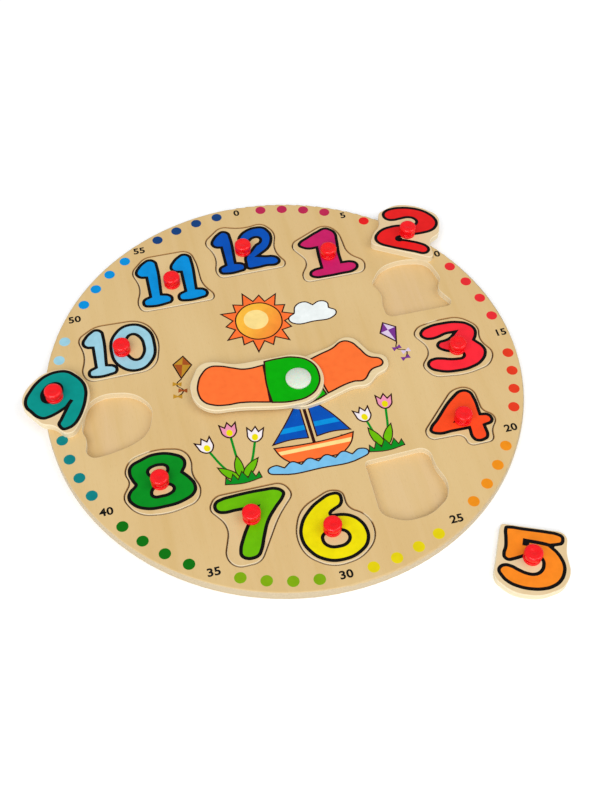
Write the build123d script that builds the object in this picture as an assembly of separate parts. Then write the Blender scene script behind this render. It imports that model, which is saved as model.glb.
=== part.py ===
from build123d import *
import os
from dataclasses import dataclass

# Wooden puzzle clock for learning the hours: a round board of two glued plywood
# discs, twelve number tiles that lift out of pockets cut to their outlines, a
# finger knob pressed into each tile, and two plywood hands on one plastic rivet.
# Millimetres. The origin is the middle of the underside, +Z is up out of the
# dial and +Y points to twelve o'clock.

# ---- Board ---------------------------------------------------------------
board_diameter = 300.0
backing_thickness = 3.0
dial_thickness = 5.0
rim_rounding = 1.2  # sanded edge of the whole board, top and bottom
pocket_easing = 0.2  # broken edge round the mouth of each pocket

# ---- Drawing grid --------------------------------------------------------
# Tiles and hands are drawn on a grid of 300 squares across the board, so that
# they keep their places on it when its diameter changes.
grid_square = board_diameter / 300

# ---- Number tiles --------------------------------------------------------
tile_thickness = 5.0
tile_gap = 0.9  # free space between a tile and its pocket, all round
tile_easing = 0.3  # sanded edge round the face of each tile

# ---- Finger knobs --------------------------------------------------------
knob_head_diameter = 11.0
knob_head_height = 4.0
knob_head_rounding = 1.5
knob_neck_diameter = 7.8
knob_neck_height = 2.0
knob_foot_diameter = 10.6
knob_foot_height = 1.6
knob_edge_rounding = 0.5  # foot, waist, underside of the head and dish
knob_dimple_diameter = 5.0  # shallow dish moulded in the crown
knob_dimple_depth = 0.5
knob_shank_diameter = 4.0
wood_under_shank = 1.0  # what is left of the tile below its blind hole

# ---- Hands and their rivet -----------------------------------------------
hand_thickness = 3.0
hand_easing = 0.5
hand_float = 0.2  # free height under, between and over the hands
hand_bore_clearance = 0.08  # on the radius, round the rivet post
pivot_x = 6.3
pivot_y = -9.0
hour_hand_direction = 0.0  # degrees from +X, anticlockwise
minute_hand_direction = 180.0

post_diameter = 6.5
post_bore_diameter = 3.6
flange_diameter = 14.0
flange_thickness = 1.2
flange_recess = 0.3  # how far the flange lies above the board's underside
flange_clearance = 0.25  # on the radius, in its seat

cap_diameter = 15.8
cap_rim_height = 0.9
cap_crown_height = 2.3
cap_plug_length = 7.0
plug_end_clearance = 0.5

# ---- Levels worked out from the sizes above ------------------------------
dial_top = backing_thickness + dial_thickness
hour_hand_base = dial_top + hand_float
minute_hand_base = hour_hand_base + hand_thickness + hand_float
cap_base = minute_hand_base + hand_thickness + hand_float


@dataclass(frozen=True)
class NumberTile:
    """One number: its pocket, the place of its knob and where it lies.

    corners: the pocket's outline in grid squares, each corner (x, y, its radius)
    knob: (x, y) of the knob in grid squares, with the tile in its pocket
    lifted: None in the pocket, or (x, y, turn, rests_on) of the knob: the place
        in grid squares, the turn in degrees and the height of what it lies on
    """

    corners: tuple
    knob: tuple
    lifted: tuple = None


number_tiles = {
    1: NumberTile(
        corners=(
            (27.6, 107.2, 7), (58, 121.6, 9), (65.6, 111, 16), (66.2, 90.5, 14),
            (76.2, 82, 7), (73.5, 71.5, 6.5), (31.2, 71.4, 4.5), (31, 79.5, 9),
            (37.9, 89.4, 9),
        ),
        knob=(52.8, 92.2),
    ),
    2: NumberTile(
        corners=(
            (74, 60.5, 6), (84, 73.2, 18), (99, 76.5, 34), (117, 72.5, 11),
            (121, 54.5, 8), (115.4, 46.5, 8), (122.3, 33.5, 4), (118.8, 30.4, 4),
            (76.2, 30.2, 5), (76.2, 42, 22), (78.6, 50, 12),
        ),
        knob=(99, 47.9),
        lifted=(109.1, 94.2, -31, dial_top),
    ),
    3: NumberTile(
        corners=(
            (87.6, 12.5, 5.5), (93, 18.5, 9), (106, 20.8, 50), (122, 20.8, 15),
            (132.6, 9.5, 9), (129, -1, 12), (135.2, -13, 8), (129, -22.5, 12),
            (112, -26.2, 40), (91, -23.5, 9), (85.8, -13, 6), (95.8, -2, 10),
        ),
        knob=(112.2, -5.1),
    ),
    4: NumberTile(
        corners=(
            (72.8, -60.2, 6), (98, -34.8, 12), (112.6, -33.4, 8), (112.6, -53.8, 6),
            (120.8, -60.4, 6), (113.8, -69.2, 10), (112.6, -77.6, 4.5),
            (95.6, -77.8, 4.5), (94.8, -68.8, 4.5), (73, -68.3, 5.3),
        ),
        knob=(98.1, -58),
    ),
    5: NumberTile(
        corners=(
            (31, -73.2, 3), (71.7, -71.6, 6.5), (71.7, -86, 25), (75.4, -97.5, 14),
            (72.6, -108.5, 14), (59, -117.2, 24), (43, -118.2, 20), (30.2, -110.2, 9),
        ),
        knob=(51.5, -93),
        lifted=(106.8, -156.3, -25.4, 0.0),
    ),
    6: NumberTile(
        corners=(
            (-21.6, -111.5, 24), (-15.2, -95, 20), (5, -86.4, 10), (13.3, -89, 5.5),
            (13.2, -101, 8), (24.4, -108.2, 15), (24.8, -124.5, 16),
            (12.5, -135, 22), (-5.5, -137.2, 20), (-19.5, -126, 18),
        ),
        knob=(0.4, -112.9),
    ),
    7: NumberTile(
        corners=(
            (-66.6, -83.5, 6), (-61.4, -74.9, 8), (-19.5, -74.7, 8),
            (-15.4, -84.6, 6), (-27, -97, 70), (-43.5, -124.2, 9),
            (-59.8, -124.5, 8.5), (-63.2, -115, 10), (-57, -97, 14),
        ),
        knob=(-43, -94.3),
    ),
    8: NumberTile(
        corners=(
            (-110.2, -47.8, 8), (-105.8, -38.2, 12), (-89, -34.2, 35),
            (-71, -38.4, 11), (-68.8, -49, 16), (-70.6, -57, 15), (-66.8, -67, 12),
            (-69.6, -76.8, 10), (-89, -81.2, 40), (-107, -78, 16),
            (-114, -64.2, 8), (-107.4, -54.4, 6),
        ),
        knob=(-90.1, -58.7),
    ),
    9: NumberTile(
        corners=(
            (-130, -12, 9), (-124, 8.5, 13), (-112, 12.8, 20), (-94, 9.5, 20),
            (-84.6, -4, 13), (-90, -23, 18), (-103, -29.4, 40), (-118, -32.2, 60),
            (-131, -32.8, 6), (-127.4, -18, 9),
        ),
        knob=(-108.5, -7.6),
        lifted=(-142.2, 13.9, 51, dial_top),
    ),
    10: NumberTile(
        corners=(
            (-123.4, 59.5, 7), (-110.5, 67.6, 16), (-78, 66.6, 16), (-70.8, 47, 28),
            (-77, 23.6, 13), (-120.6, 23.4, 7), (-124, 32, 10), (-119.8, 44.5, 24),
        ),
        knob=(-96.1, 43.6),
    ),
    11: NumberTile(
        corners=(
            (-80.4, 107.5, 8), (-69.5, 118.9, 10), (-37.6, 118.9, 8),
            (-35.2, 105, 40), (-35.2, 87, 20), (-29, 77, 6), (-30, 71.4, 4),
            (-78.5, 71.4, 5.5), (-80.6, 80, 12), (-76, 92.5, 20),
        ),
        knob=(-54.9, 91.5),
    ),
    12: NumberTile(
        corners=(
            (-28, 122.8, 7), (-13.6, 135, 8), (1, 129.8, 28), (15.6, 132.2, 8),
            (23, 121, 12), (17.8, 104.5, 18), (24.2, 92.5, 5), (21, 88.4, 4),
            (-23, 88.2, 5), (-24.9, 95.5, 10), (-21.6, 108.5, 20),
        ),
        knob=(-2.8, 108.9),
    ),
}

# The hands' outlines round the rivet in grid squares, each pointing along +X.
hour_hand_corners = (
    (-17, -21.5, 18), (-17, 18.4, 18.8), (8, 18.4, 30), (28, 23, 22),
    (36, 28.5, 7.8), (43.5, 26, 9), (50.4, 11.6, 10), (59.7, 8, 6), (58.8, -2.6, 7),
    (50, -5.5, 12), (42, -13, 8.5), (33, -11, 17), (12, -17.5, 50),
)
minute_hand_corners = (
    (-16, -20, 18.8), (-16, 18.2, 18.8), (14, 18.2, 80), (41, 12.4, 100),
    (66.8, 11.2, 16.5), (66.5, -11.5, 14), (57.5, -27, 9), (47, -25.5, 20), (36, -20.4, 28),
)


def on_board(x, y):
    """Place in millimetres of a point given in grid squares."""
    return x * grid_square, y * grid_square


def rounded_face(corners):
    """Flat face of straight runs joined by arcs, from corners in grid squares."""
    points = [on_board(x, y) for x, y, _ in corners]
    radii = [radius * grid_square for _, _, radius in corners]
    return make_face(FilletPolyline(*points, radius=radii, close=True))


def round_bar(diameter, height, base=0.0, x=0.0, y=0.0):
    """Upright cylinder that stands on the level base."""
    upright = (Align.CENTER, Align.CENTER, Align.MIN)
    return Pos(x, y, base) * Cylinder(diameter / 2, height, align=upright)


def eased(solid, width):
    """The solid with its top face's outline bevelled by width."""
    return chamfer(solid.faces().sort_by(Axis.Z)[-1].outer_wire().edges(), width)


def place_tile(tile, piece):
    """A tile's piece moved from its pocket to where the tile lies."""
    if tile.lifted is None:
        return piece
    knob_x, knob_y = on_board(*tile.knob)
    lying_x, lying_y, turn, rests_on = tile.lifted
    to_knob = Pos(-knob_x, -knob_y, -backing_thickness)
    lying_place = Pos(*on_board(lying_x, lying_y), rests_on) * Rot(0, 0, turn)
    return lying_place * to_knob * piece


def make_backing():
    """Back disc, with the rivet's hole and the sunk seat of its flange."""
    disc = round_bar(board_diameter, backing_thickness)
    disc = fillet(disc.edges().sort_by(Axis.Z)[0], rim_rounding)
    seat_diameter = flange_diameter + 2 * flange_clearance
    seat = round_bar(seat_diameter, flange_recess + flange_thickness, 0, pivot_x, pivot_y)
    hole = round_bar(post_diameter, backing_thickness, 0, pivot_x, pivot_y)
    return disc - seat - hole


def make_dial():
    """Front disc, with the twelve pockets and the rivet's hole cut through."""
    disc = round_bar(board_diameter, dial_thickness, backing_thickness)
    disc = fillet(disc.edges().sort_by(Axis.Z)[-1], rim_rounding)
    for tile in number_tiles.values():
        pocket = Pos(0, 0, backing_thickness) * rounded_face(tile.corners)
        disc -= extrude(pocket, dial_thickness)
    mouths = disc.faces().sort_by(Axis.Z)[-1].inner_wires()
    disc = chamfer([edge for wire in mouths for edge in wire.edges()], pocket_easing)
    return disc - round_bar(post_diameter, dial_thickness, backing_thickness, pivot_x, pivot_y)


def make_tile(tile):
    """Number tile, smaller than its pocket by the gap, with the knob's blind hole."""
    outline = offset(rounded_face(tile.corners), -tile_gap)
    solid = extrude(Pos(0, 0, backing_thickness) * outline, tile_thickness)
    solid = eased(solid, tile_easing)
    hole_depth = tile_thickness - wood_under_shank
    hole_base = backing_thickness + wood_under_shank
    return solid - round_bar(knob_shank_diameter, hole_depth, hole_base, *on_board(*tile.knob))


def make_knob(tile):
    """Turned knob: foot flange, waist, rounded head and the shank in the tile."""
    shank = knob_shank_diameter / 2
    shank_length = tile_thickness - wood_under_shank
    foot = knob_foot_diameter / 2
    neck = knob_neck_diameter / 2
    head = knob_head_diameter / 2
    dimple = knob_dimple_diameter / 2
    neck_base = knob_foot_height
    head_base = neck_base + knob_neck_height
    crown = head_base + knob_head_height
    profile = FilletPolyline(
        (0, -shank_length), (shank, -shank_length), (shank, 0), (foot, 0),
        (foot, neck_base), (neck, neck_base), (neck, head_base),
        (head, head_base), (head, crown), (dimple, crown),
        (0, crown - knob_dimple_depth),
        radius=[
            0, 0, 0,
            knob_edge_rounding, knob_edge_rounding, knob_edge_rounding,
            knob_edge_rounding, knob_head_rounding, knob_edge_rounding,
        ],
    )
    axis_line = Line((0, crown - knob_dimple_depth), (0, -shank_length))
    turned = revolve(Plane.XZ * make_face([profile, axis_line]), Axis.Z)
    return Pos(*on_board(*tile.knob), backing_thickness + tile_thickness) * turned


def make_hand(corners, direction, base):
    """Flat hand with sanded top edges and a running bore round the rivet post."""
    outline = Rot(0, 0, direction) * rounded_face(corners)
    solid = extrude(Pos(pivot_x, pivot_y, base) * outline, hand_thickness)
    solid = eased(solid, hand_easing)
    bore = post_diameter + 2 * hand_bore_clearance
    return solid - round_bar(bore, hand_thickness, base, pivot_x, pivot_y)


def make_post():
    """Rivet post: flange under the board and a hollow post up to the cap."""
    flange = round_bar(flange_diameter, flange_thickness, flange_recess)
    post = round_bar(post_diameter, cap_base - flange_recess, flange_recess)
    bore_depth = cap_plug_length + plug_end_clearance
    bore = round_bar(post_bore_diameter, bore_depth, cap_base - bore_depth)
    return Pos(pivot_x, pivot_y) * (flange + post - bore)


def make_cap():
    """Domed cap with the plug that is pressed into the post."""
    rim = cap_diameter / 2
    plug = post_bore_diameter / 2
    top = cap_rim_height + cap_crown_height
    side = Polyline(
        (0, -cap_plug_length), (plug, -cap_plug_length), (plug, 0), (rim, 0),
        (rim, cap_rim_height),
    )
    crown = TangentArc((0, top), (rim, cap_rim_height), tangent=(1, 0))
    axis_line = Line((0, top), (0, -cap_plug_length))
    turned = revolve(Plane.XZ * make_face([side, crown, axis_line]), Axis.Z)
    return Pos(pivot_x, pivot_y, cap_base) * turned


def build_pieces():
    """Every piece of the clock by its node's name."""
    pieces = {
        "backing_board": make_backing(),
        "dial_board": make_dial(),
        "hour_hand": make_hand(hour_hand_corners, hour_hand_direction, hour_hand_base),
        "minute_hand": make_hand(minute_hand_corners, minute_hand_direction, minute_hand_base),
        "pivot_post": make_post(),
        "pivot_cap": make_cap(),
    }
    for number, tile in number_tiles.items():
        pieces[f"numeral_{number}"] = place_tile(tile, make_tile(tile))
        pieces[f"knob_{number}"] = place_tile(tile, make_knob(tile))
    return pieces


os.makedirs("parts", exist_ok=True)
for node, piece in build_pieces().items():
    export_step(piece, f"parts/{node}.step")
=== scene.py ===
import logging
import math
from collections.abc import Sequence
from dataclasses import dataclass, field
from enum import Enum

import bpy
from mathutils import Matrix, Vector


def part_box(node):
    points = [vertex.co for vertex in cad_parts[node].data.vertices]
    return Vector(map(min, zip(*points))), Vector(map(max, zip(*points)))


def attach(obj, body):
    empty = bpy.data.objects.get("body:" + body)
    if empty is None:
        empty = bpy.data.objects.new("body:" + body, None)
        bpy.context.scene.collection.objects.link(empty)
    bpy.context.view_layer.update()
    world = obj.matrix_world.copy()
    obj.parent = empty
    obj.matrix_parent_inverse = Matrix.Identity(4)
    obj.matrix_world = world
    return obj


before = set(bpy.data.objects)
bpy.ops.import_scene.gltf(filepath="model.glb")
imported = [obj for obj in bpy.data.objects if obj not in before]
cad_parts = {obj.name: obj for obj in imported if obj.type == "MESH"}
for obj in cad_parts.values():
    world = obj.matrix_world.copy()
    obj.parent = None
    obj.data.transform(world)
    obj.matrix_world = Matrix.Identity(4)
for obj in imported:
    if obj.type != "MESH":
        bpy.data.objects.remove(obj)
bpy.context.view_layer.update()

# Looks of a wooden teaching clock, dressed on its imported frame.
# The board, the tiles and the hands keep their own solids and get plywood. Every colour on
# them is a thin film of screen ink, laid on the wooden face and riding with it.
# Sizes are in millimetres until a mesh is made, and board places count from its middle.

MM = 0.001
FILM = 0.02  # dried screen ink, one coat
WELD = 0.002  # points nearer than this are one
NUMBERS = range(1, 13)
# The colour sockets of a Mix node go by number, since others of it have the same names.
MIX_SHARE, MIX_UNDER, MIX_OVER, MIX_RESULT = 0, 6, 7, 2
log = logging.getLogger("teaching_clock")

Point = tuple[float, float]
Colour = tuple[float, float, float, float]
Tree = bpy.types.NodeTree
Socket = bpy.types.NodeSocket


@dataclass(frozen=True)
class Corner:
    """A sharp point of an outline. Plain pairs are points that the line rounds."""

    x: float
    y: float


Knot = Point | Corner


@dataclass(frozen=True)
class Shape:
    """A flat shape that a stencil lets through, in millimetres."""

    outline: tuple[Knot, ...]
    openings: tuple[tuple[Knot, ...], ...] = ()


@dataclass(frozen=True)
class Glyph:
    """One figure of a number, at its place from the tile's knob."""

    shape: Shape
    at: Point = (0.0, 0.0)
    stretch: Point = (1.0, 1.0)


class Ink(Enum):
    """Screen inks by the colour they dry to."""

    BLACK = "#0C0A0A"
    UMBER = "#32100A"
    RASPBERRY = "#C81E64"
    SCARLET = "#E61E1E"
    CORAL_RED = "#FA2837"
    VERMILION = "#FA4B1E"
    TANGERINE = "#F5871E"
    LEMON = "#EBDC00"
    LIME = "#69B900"
    LEAF = "#008C1E"
    TEAL = "#009187"
    POWDER_BLUE = "#9BCDDC"
    SKY_BLUE = "#008FD8"
    ROYAL_BLUE = "#0050B4"
    ORANGE = "#FF7332"
    GRASS = "#00AA00"
    AMBER = "#FAB93C"
    APRICOT = "#F58C32"
    STRAW = "#FADC8C"
    CLOUD_WHITE = "#EEF3F0"
    SEA = "#78BEE6"
    BLOSSOM = "#F5EBEB"
    PINK = "#F096B4"
    OCHRE = "#BE8C28"
    RUST = "#A5501E"
    PLUM = "#78328C"
    LILAC = "#DCC8E1"
    MULBERRY = "#BC2850"
    CRIMSON = "#E82C32"
    BRICK = "#E43A1E"
    MANGO = "#EE8E16"
    MUSTARD = "#E2CE0A"
    MOSS = "#7DA90A"
    FOREST = "#0A6F0C"
    LAGOON = "#0A8082"
    NAVY = "#14407A"


class Stock(Enum):
    """Plywood sheets, with their plies from the lowest up, in millimetres."""

    THREE = (1.0, 1.0, 1.0)
    FIVE = (1.2, 2.6, 1.2)


def to_linear(colour: str) -> Colour:
    """Turn an sRGB hex colour into a linear one.

    Args:
        colour: The colour as "#RRGGBB".

    Returns:
        Red, green, blue and alpha, linear.
    """
    channels = [int(colour[start:start + 2], 16) / 255 for start in (1, 3, 5)]
    linear = [c / 12.92 if c <= 0.04045 else ((c + 0.055) / 1.055) ** 2.4 for c in channels]
    return (*linear, 1.0)


def add_node(
    tree: Tree, kind: str, inputs: dict | None = None, **settings: object
) -> bpy.types.Node:
    """Add a shader node with its settings, values and links.

    Args:
        tree: The material's node tree.
        kind: The node's type, without the ShaderNode before it.
        inputs: Values or output sockets by the name or number of the input.
        settings: The node's own properties.

    Returns:
        The new node.
    """
    node = tree.nodes.new(f"ShaderNode{kind}")
    for name, value in settings.items():
        setattr(node, name, value)
    for name, value in (inputs or {}).items():
        if isinstance(value, Socket):
            tree.links.new(value, node.inputs[name])
        else:
            node.inputs[name].default_value = value
    return node


def new_material(name: str) -> tuple[bpy.types.Material, Tree]:
    """Make an empty node material.

    Args:
        name: The finish's name.

    Returns:
        The material and its cleared node tree.
    """
    material = bpy.data.materials.new(name)
    material.use_nodes = True
    material.node_tree.nodes.clear()
    return material, material.node_tree


def per_mm(size: float) -> float:
    """Give the noise scale whose marks are this many millimetres across."""
    return 1.0 / (size * MM)


def tint(
    tree: Tree, value: Socket, under: Socket | str, over: Socket | str,
    between: Point = (0.0, 1.0), most: float = 1.0,
) -> Socket:
    """Let one colour come out over another as a pattern's value goes up.

    Args:
        tree: The material's node tree.
        value: The pattern.
        under: The lower colour, as hex or a socket.
        over: The upper colour, as hex or a socket.
        between: The values at which the upper colour begins and shows most.
        most: The upper colour's greatest share.

    Returns:
        The mixed colour.
    """
    share = add_node(tree, "MapRange", {
        "Value": value, "From Min": between[0], "From Max": between[1], "To Max": most,
    }).outputs["Result"]
    low, high = (to_linear(c) if isinstance(c, str) else c for c in (under, over))
    return add_node(tree, "Mix", {
        MIX_SHARE: share, MIX_UNDER: low, MIX_OVER: high,
    }, data_type="RGBA").outputs[MIX_RESULT]


def close_material(
    tree: Tree, relief: Socket, strength: float, depth: float, values: dict[str, object]
) -> None:
    """End a material with its relief, its shader and the output.

    Args:
        tree: The material's node tree.
        relief: The relief's heights, from 0 to 1.
        strength: How strongly the relief shows.
        depth: How deep it is, in millimetres.
        values: What goes into the shader's sockets.
    """
    bump = add_node(tree, "Bump", {
        "Strength": strength, "Distance": depth * MM, "Height": relief,
    })
    shader = add_node(tree, "BsdfPrincipled", {
        **values, "Normal": bump.outputs["Normal"],
    })
    add_node(tree, "OutputMaterial", {"Surface": shader.outputs["BSDF"]})


@dataclass(frozen=True)
class Plywood:
    """Birch plywood under a thin matt lacquer.

    Its face is rotary-cut veneer: wide, faint figure along the sheet, fine fibres, short
    pores and a few pin knots. Its cut edge shows pale plies with thin glue lines between.
    """

    name: str
    stock: Stock
    bottom: float
    face: str = "#DBBA82"
    figure: str = "#D4B173"
    cloud: str = "#E1C38C"
    edge: str = "#F0E2C2"
    core: str = "#EADAB6"
    glue: str = "#DBC79C"
    rim: str = "#C8B594"
    # Painted shade: the dark brown that stands in for shadow on the pocket walls, in the narrow
    # gaps round the tiles.
    scorch: str = "#B98F5A"
    pore: str = "#B8935C"
    knot: str = "#6E4A26"
    turn: float = 0.0
    shift: Point = (0.0, 0.0)
    pin_knots: tuple[Point, ...] = ()
    empty_pockets: tuple[Point, ...] = ()
    # How far from its middle a mark ends, and how far it is full, in millimetres.
    knot_reach: Point = (1.1, 0.3)
    pocket_reach: Point = (32.5, 32.0)
    dial_reach: Point = (148.0, 147.0)
    glue_half: float = 0.06  # half of a glue line, which is about 0.1 mm thick
    fibre_span: Point = (0.45, 0.8)
    fibre_share: float = 0.35

    def material(self) -> bpy.types.Material:
        """Make the wood.

        Returns:
            The material.
        """
        material, tree = new_material(self.name)
        texture = add_node(tree, "TexCoord")
        place = texture.outputs["Object"]
        sheet = add_node(tree, "Mapping", {
            "Vector": place,
            "Rotation": (0.0, 0.0, -math.radians(self.turn)),
            "Location": (self.shift[0] * MM, self.shift[1] * MM, 0.0),
        }).outputs["Vector"]
        # Veneer figure is some 9 mm wide and runs on for 120 mm or more.
        figure = self._streaks(tree, sheet, width=9.0, length=130.0, detail=3.0)
        # Fibres are far finer than they can show, so they are drawn 0.8 mm wide.
        fibres = self._streaks(tree, sheet, width=0.8, length=22.0, detail=2.0)
        pores = self._streaks(tree, sheet, width=0.5, length=3.5, detail=0.0)
        clouds = self._streaks(tree, sheet, width=55.0, length=80.0, detail=1.0)
        face = tint(tree, figure, self.face, self.figure, between=(0.4, 0.7), most=0.7)
        face = tint(tree, clouds, face, self.cloud, between=(0.4, 0.7), most=0.55)
        face = tint(tree, fibres, face, self.figure, between=(0.5, 0.75), most=0.22)
        face = tint(tree, pores, face, self.pore, between=(0.7, 0.78), most=0.16)
        for spot in self.pin_knots:
            face = self._mark(tree, place, spot, self.knot_reach, face, self.knot, most=0.75)
        facing = add_node(tree, "SeparateXYZ", {"Vector": texture.outputs["Normal"]})
        upright = add_node(tree, "Math", {0: facing.outputs["Z"]}, operation="ABSOLUTE")
        cut = self._cut_edge(tree, place, fibres)
        colour = tint(tree, upright.outputs["Value"], cut, face, between=(0.6, 0.97))
        relief = add_node(tree, "Math", {0: fibres, 1: pores}, operation="SUBTRACT")
        gloss = add_node(tree, "MapRange", {
            "Value": fibres, "From Min": 0.3, "From Max": 0.7, "To Min": 0.44, "To Max": 0.56,
        })
        close_material(tree, relief.outputs["Value"], strength=0.35, depth=0.06, values={
            "Base Color": colour, "Roughness": gloss.outputs["Result"], "IOR": 1.45,
            "Specular IOR Level": 0.2,
        })
        return material

    def _streaks(
        self, tree: Tree, sheet: Socket, width: float, length: float, detail: float
    ) -> Socket:
        """Draw noise that runs along the grain.

        Args:
            tree: The material's node tree.
            sheet: The sheet's coordinates, with the grain along Y.
            width: How wide a streak is, in millimetres.
            length: How long a streak is, in millimetres.
            detail: How many finer layers it has.

        Returns:
            The noise, from 0 to 1.
        """
        drawn = add_node(tree, "Mapping", {
            "Vector": sheet, "Scale": (1.0, width / length, 1.0),
        })
        noise = add_node(tree, "TexNoise", {
            "Vector": drawn.outputs["Vector"], "Scale": per_mm(width), "Detail": detail,
            "Distortion": 0.25,
        })
        return noise.outputs["Fac"]

    def _mark(
        self, tree: Tree, place: Socket, spot: Point, reach: Point,
        under: Socket | str, over: Socket | str, most: float = 1.0,
    ) -> Socket:
        """Lay a round mark about a spot of the sheet's face.

        Args:
            tree: The material's node tree.
            place: Object coordinates.
            spot: The mark's middle, on the board.
            reach: How far from its middle it ends, and how far it is full.
            under: The colour round the mark.
            over: The mark's colour.
            most: The mark's greatest share.

        Returns:
            The mixed colour.
        """
        top = (self.bottom + sum(self.stock.value)) * MM
        away = add_node(tree, "VectorMath", {
            0: place, 1: (spot[0] * MM, spot[1] * MM, top),
        }, operation="DISTANCE")
        span = (reach[0] * MM, reach[1] * MM)
        return tint(tree, away.outputs["Value"], under, over, between=span, most=most)

    def _cut_edge(self, tree: Tree, place: Socket, fibres: Socket) -> Socket:
        """Draw the plies on the cut edge.

        Args:
            tree: The material's node tree.
            place: Object coordinates.
            fibres: Fine streaks that vary the plies.

        Returns:
            The edge's colour.
        """
        height = add_node(tree, "SeparateXYZ", {"Vector": place}).outputs["Z"]
        lowest, middle, _ = self.stock.value
        seams = (self.bottom + lowest, self.bottom + lowest + middle)
        core = add_node(tree, "Math", {
            0: height, 1: (seams[0] + middle / 2) * MM, 2: middle / 2 * MM,
        }, operation="COMPARE")
        plies = tint(tree, core.outputs["Value"], self.edge, self.core)
        plies = tint(tree, fibres, plies, self.core, self.fibre_span, self.fibre_share)
        for seam in seams:
            glue = add_node(tree, "Math", {
                0: height, 1: seam * MM, 2: self.glue_half * MM,
            }, operation="COMPARE")
            plies = tint(tree, glue.outputs["Value"], plies, self.glue)
        if not self.empty_pockets:
            return plies
        # Painted shade: the pocket walls take a dark brown that stands in for the shadow deep in
        # the narrow gaps round the tiles at home. The walls of the empty pockets keep the plain
        # plies, and the outer rim takes a duller tone of its own.
        walls: Socket | str = self.scorch
        for pocket in self.empty_pockets:
            walls = self._mark(tree, place, pocket, self.pocket_reach, walls, plies)
        rim = tint(tree, fibres, self.rim, self.core, self.fibre_span, self.fibre_share)
        return self._mark(tree, place, (0.0, 0.0), self.dial_reach, rim, walls)


@dataclass(frozen=True)
class ScreenInk:
    """Solvent screen ink on lacquered plywood.

    A stencil lays it flat and even, so it is nearly plain in colour, with a satin gloss,
    faint mottling and the wood's fibres just showing through as relief. A fade blends two
    inks across the print.
    """

    colour: Ink
    fade_to: Ink | None = None
    fade_start: Point = (0.0, 0.0)
    fade_end: Point = (0.0, 0.0)
    # Both where the ink lies thick and where it lies thin.
    brightness: Point = (0.93, 1.05)
    roughness: Point = (0.34, 0.46)

    @property
    def name(self) -> str:
        """The finish's name, from its colours."""
        shades = [self.colour] + ([self.fade_to] if self.fade_to else [])
        return "screen_ink_" + "_to_".join(shade.name.lower() for shade in shades)

    def material(self) -> bpy.types.Material:
        """Make the ink, or give the one that is already mixed.

        Returns:
            The material.
        """
        mixed = bpy.data.materials.get(self.name)
        if mixed:
            return mixed
        material, tree = new_material(self.name)
        place = add_node(tree, "TexCoord").outputs["Object"]
        # Mottling some 5 mm across, from the squeegee.
        mottle = add_node(tree, "TexNoise", {
            "Vector": place, "Scale": per_mm(5.0), "Detail": 3.0,
        }).outputs["Fac"]
        along = add_node(tree, "Mapping", {"Vector": place, "Scale": (1.0, 0.04, 1.0)})
        fibres = add_node(tree, "TexNoise", {
            "Vector": along.outputs["Vector"], "Scale": per_mm(0.7), "Detail": 2.0,
        }).outputs["Fac"]
        brightness, roughness = (
            add_node(tree, "MapRange", {
                "Value": mottle, "From Min": 0.3, "From Max": 0.7, "To Min": low, "To Max": high,
            }).outputs["Result"] for low, high in (self.brightness, self.roughness)
        )
        tinted = add_node(tree, "HueSaturation", {
            "Value": brightness, "Color": self._shade(tree, place),
        })
        close_material(tree, fibres, strength=0.3, depth=0.04, values={
            "Base Color": tinted.outputs["Color"], "Roughness": roughness, "IOR": 1.48,
            "Specular IOR Level": 0.12,
        })
        return material

    def _shade(self, tree: Tree, place: Socket) -> Socket | Colour:
        """Give the plain colour, or the fade from one to the other.

        Args:
            tree: The material's node tree.
            place: Object coordinates.

        Returns:
            A linear colour or a colour socket.
        """
        if not self.fade_to:
            return to_linear(self.colour.value)
        start = Vector((*self.fade_start, 0.0)) * MM
        run = Vector((*self.fade_end, 0.0)) * MM - start
        from_start = add_node(tree, "VectorMath", {
            0: place, 1: start,
        }, operation="SUBTRACT")
        share = add_node(tree, "VectorMath", {
            0: from_start.outputs["Vector"], 1: run / run.length_squared,
        }, operation="DOT_PRODUCT")
        eased = add_node(tree, "MapRange", {
            "Value": share.outputs["Value"],
        }, interpolation_type="SMOOTHSTEP")
        return tint(tree, eased.outputs["Result"], self.colour.value, self.fade_to.value)


@dataclass(frozen=True)
class MouldedPlastic:
    """Injection-moulded polystyrene.

    A polished mould leaves it glossy, with a faint waviness. Light sinks a little way in, so
    thin edges look lighter and the colour is deep.
    """

    name: str
    colour: str
    worn: str
    translucency: float
    roughness: float
    dulling: float = 0.1

    def material(self) -> bpy.types.Material:
        """Make the plastic.

        Returns:
            The material.
        """
        material, tree = new_material(self.name)
        place = add_node(tree, "TexCoord").outputs["Object"]
        # Handling dulls it in patches of some 4 mm.
        patches = add_node(tree, "TexNoise", {
            "Vector": place, "Scale": per_mm(4.0), "Detail": 3.0,
        }).outputs["Fac"]
        waves = add_node(tree, "TexNoise", {
            "Vector": place, "Scale": per_mm(1.6), "Detail": 1.0,
        }).outputs["Fac"]
        colour = tint(tree, patches, self.colour, self.worn, between=(0.4, 0.8), most=0.4)
        roughness = add_node(tree, "MapRange", {
            "Value": patches, "From Min": 0.3, "From Max": 0.7,
            "To Min": self.roughness, "To Max": self.roughness + self.dulling,
        }).outputs["Result"]
        close_material(tree, waves, strength=0.25, depth=0.08, values={
            "Base Color": colour,
            "Roughness": roughness,
            "IOR": 1.59,
            "Specular IOR Level": 0.3,
            "Subsurface Weight": self.translucency,
            "Subsurface Radius": (1.0, 0.35, 0.25),
            "Subsurface Scale": 1.5 * MM,
        })
        return material


def pick(piece: bpy.types.Object) -> None:
    """Select one object alone and make it active.

    Args:
        piece: The object.
    """
    bpy.ops.object.select_all(action="DESELECT")
    piece.select_set(True)
    bpy.context.view_layer.objects.active = piece


def dress(node: str, material: bpy.types.Material) -> None:
    """Give a solid of the frame its finish.

    Args:
        node: The solid's name.
        material: The finish.
    """
    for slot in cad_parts[node].material_slots:
        slot.material = material


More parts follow.
